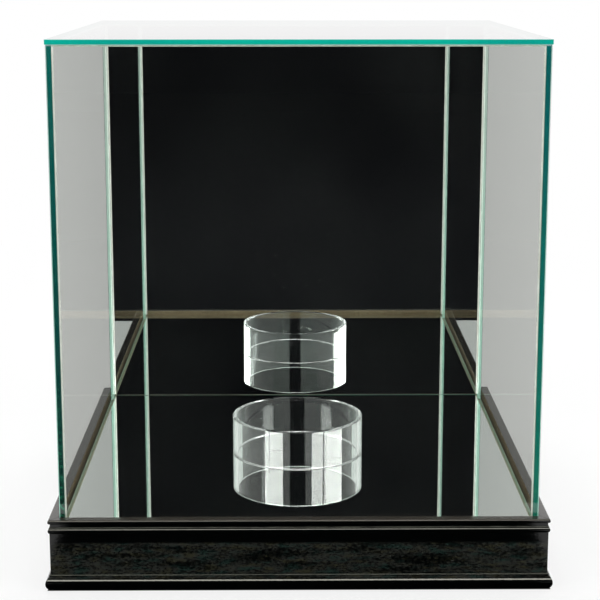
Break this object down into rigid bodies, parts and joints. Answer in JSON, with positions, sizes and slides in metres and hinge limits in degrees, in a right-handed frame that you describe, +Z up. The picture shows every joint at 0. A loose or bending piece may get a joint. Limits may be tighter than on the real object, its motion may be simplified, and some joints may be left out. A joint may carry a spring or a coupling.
{
  "type": "basketball display case",
  "caption": "Glass display case for a ball: a lift-off glass cover with a mirror back, on a moulded black wooden base with a mirror floor and a clear riser ring.",
  "frame": {"origin": "middle of the footprint, on the surface that the case stands on", "axes": "+Z up, the front of the case towards -Y, +X to the right of a viewer who faces the front"},
  "size_m": [0.305, 0.305, 0.328],
  "materials": {
    "glass": "clear float glass with ground green edges",
    "mirror": "silvered 3 mm glass with a painted back",
    "bead": "cured clear glazing bead",
    "acrylic": "clear polished acrylic tube",
    "black_wood": "satin black lacquer with the grain showing",
    "board": "raw fibreboard",
    "pine": "raw sawn pine",
    "steel": "zinc plated",
    "tape": "white foam tape",
    "felt": "black pressed felt"
  },
  "bodies": {
    "base": {"moulding_front": "black_wood", "moulding_right": "black_wood", "moulding_back": "black_wood", "moulding_left": "black_wood", "deck_board": "board", "mirror_floor": "mirror", "mirror_tape_left": "tape", "mirror_tape_right": "tape", "corner_block_front_left": "pine", "block_screw_front_left": "steel", "corner_nail_front_left_1": "steel", "corner_nail_front_left_2": "steel", "corner_block_front_right": "pine", "block_screw_front_right": "steel", "corner_nail_front_right_1": "steel", "corner_nail_front_right_2": "steel", "corner_block_back_right": "pine", "block_screw_back_right": "steel", "corner_nail_back_right_1": "steel", "corner_nail_back_right_2": "steel", "corner_block_back_left": "pine", "block_screw_back_left": "steel", "corner_nail_back_left_1": "steel", "corner_nail_back_left_2": "steel", "felt_foot_front_left": "felt", "felt_foot_front_right": "felt", "felt_foot_back_right": "felt", "felt_foot_back_left": "felt"},
    "cover": {"glass_top": "glass", "glass_front": "glass", "glass_left": "glass", "glass_right": "glass", "mirror_back": "mirror", "bead_front_left": "bead", "bead_front_right": "bead", "bead_back_right": "bead", "bead_back_left": "bead", "bead_top_front": "bead", "bead_top_right": "bead", "bead_top_back": "bead", "bead_top_left": "bead"},
    "riser": {"riser_ring": "acrylic"}
  },
  "joints": [
    {"name": "cover_lift", "type": "slide", "parent": "base", "child": "cover", "axis": [0, 0, 1], "range_m": [0, 0.3]},
    {"name": "riser_lift", "type": "slide", "parent": "base", "child": "riser", "axis": [0, 0, 1], "range_m": [0, 0.2]}
  ]
}
